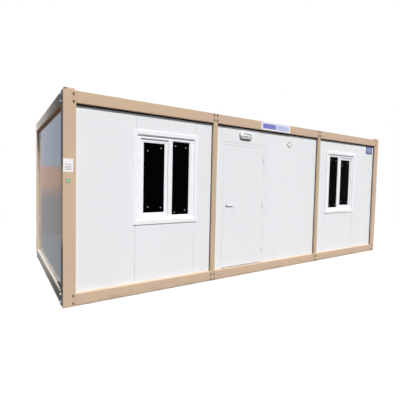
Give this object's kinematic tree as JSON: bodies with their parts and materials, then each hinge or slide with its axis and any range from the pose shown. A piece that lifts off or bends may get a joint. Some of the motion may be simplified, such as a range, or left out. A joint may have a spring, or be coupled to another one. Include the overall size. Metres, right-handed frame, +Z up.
{
  "type": "portable site cabin",
  "caption": "Portable site cabin with a beige steel frame, white insulated wall panels, a hinged door with a lever handle, tinted windows and a lamp over the door.",
  "frame": {"origin": "on the ground, under the middle of the cabin's length and width", "axes": "+X along the length, to the right of someone facing the door; -Y out of the door side; +Z up"},
  "size_m": [7, 3, 2.65],
  "materials": {
    "frame_paint": "satin beige paint over folded steel, lightly scuffed",
    "wall_sheet": "smooth white coated sheet on insulated panels, slightly glossy",
    "end_sheet": "glossy pale grey coated sheet on insulated panels",
    "window_white": "smooth white extruded plastic",
    "dark_glass": "dark tinted glass",
    "door_white": "smooth white coated door sheet",
    "threshold_metal": "mill finish aluminium strip",
    "hinge_metal": "white coated steel hinges",
    "handle_metal": "satin metal lever and plates",
    "lamp_white": "white moulded plastic",
    "lamp_lens": "frosted pale grey lens",
    "floor_board": "sealed board floor",
    "joist_steel": "galvanised steel joists",
    "ceiling_sheet": "white coated ceiling sheet",
    "roof_steel": "galvanised ribbed roof sheet"
  },
  "bodies": {
    "cabin": {"front_left_post": "frame_paint", "front_right_post": "frame_paint", "back_left_post": "frame_paint", "back_right_post": "frame_paint", "front_left_mid_post": "frame_paint", "front_right_mid_post": "frame_paint", "back_left_mid_post": "frame_paint", "back_right_mid_post": "frame_paint", "front_top_rail": "frame_paint", "back_top_rail": "frame_paint", "left_top_rail": "frame_paint", "right_top_rail": "frame_paint", "front_bottom_rail": "frame_paint", "back_bottom_rail": "frame_paint", "left_bottom_rail": "frame_paint", "right_bottom_rail": "frame_paint", "front_left_wall": "wall_sheet", "front_middle_wall": "wall_sheet", "front_right_wall": "wall_sheet", "back_left_wall": "wall_sheet", "back_middle_wall": "wall_sheet", "back_right_wall": "wall_sheet", "left_end_wall": "end_sheet", "right_end_wall": "end_sheet", "left_window_casing": "window_white", "left_window_frame": "window_white", "left_window_sash": "window_white", "left_window_glass": "dark_glass", "right_window_casing": "window_white", "right_window_frame": "window_white", "right_window_sash": "window_white", "right_window_glass": "dark_glass", "door_frame": "window_white", "door_threshold": "threshold_metal", "door_hinges": "hinge_metal", "lamp_body": "lamp_white", "lamp_lens": "lamp_lens", "floor_deck": "floor_board", "floor_joists": "joist_steel", "ceiling": "ceiling_sheet", "roof_sheet": "roof_steel"},
    "door": {"door_leaf": "door_white", "door_lock_plates": "handle_metal"},
    "handle": {"door_handle": "handle_metal"}
  },
  "joints": [
    {"name": "door_swing", "type": "hinge", "parent": "cabin", "child": "door", "pos_m": [-0.1925, -1.469, 1.166], "axis": [0, 0, 1], "range_deg": [0, 105]},
    {"name": "handle_turn", "type": "hinge", "parent": "door", "child": "handle", "pos_m": [-1, -1.4345, 1.186], "axis": [0, 1, 0], "range_deg": [0, 40], "stiffness_Nm_per_rad": 3, "springref_deg": -17.19}
  ]
}
